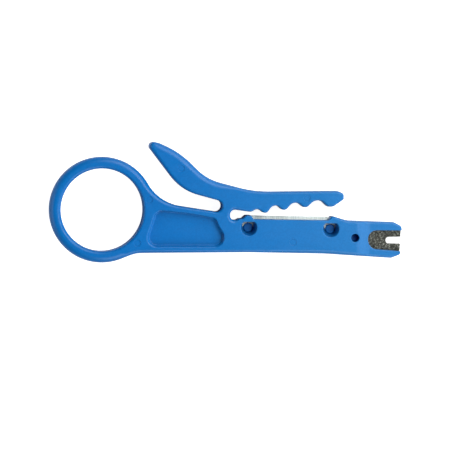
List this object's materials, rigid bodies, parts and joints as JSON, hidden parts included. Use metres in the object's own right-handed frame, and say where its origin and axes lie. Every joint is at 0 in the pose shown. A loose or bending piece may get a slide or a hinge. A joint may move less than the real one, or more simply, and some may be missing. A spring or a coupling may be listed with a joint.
{
  "type": "punch down tool",
  "caption": "Flat pocket punch-down tool with a finger ring, a spring-necked squeeze lever with a notched jaw over a stripping blade, and a forked steel tip.",
  "frame": {"origin": "middle of the tool's outline, on its back face", "axes": "+X along the tool to the punch-down tip, +Y across it towards the squeeze lever, +Z out of the front face, which has the two blade windows"},
  "size_m": [0.092, 0.0313, 0.006],
  "materials": {
    "blue_plastic": "fine satin grain",
    "razor_steel": "ground",
    "fork_steel": "mottled, as tempered"
  },
  "bodies": {
    "handle": {"handle_body": "blue_plastic", "spring_neck": "blue_plastic", "stripping_blade": "razor_steel", "punch_down_blade": "fork_steel", "blade_pin_rear": "blue_plastic", "blade_pin_front": "blue_plastic", "punch_blade_pin": "blue_plastic"},
    "lever": {"squeeze_lever": "blue_plastic"}
  },
  "joints": [
    {"name": "jaw_flex", "type": "hinge", "parent": "handle", "child": "lever", "pos_m": [-0.0001, -0.0021, 0.003], "axis": [0, 0, 1], "range_deg": [-3, 10], "stiffness_Nm_per_rad": 2.2}
  ]
}
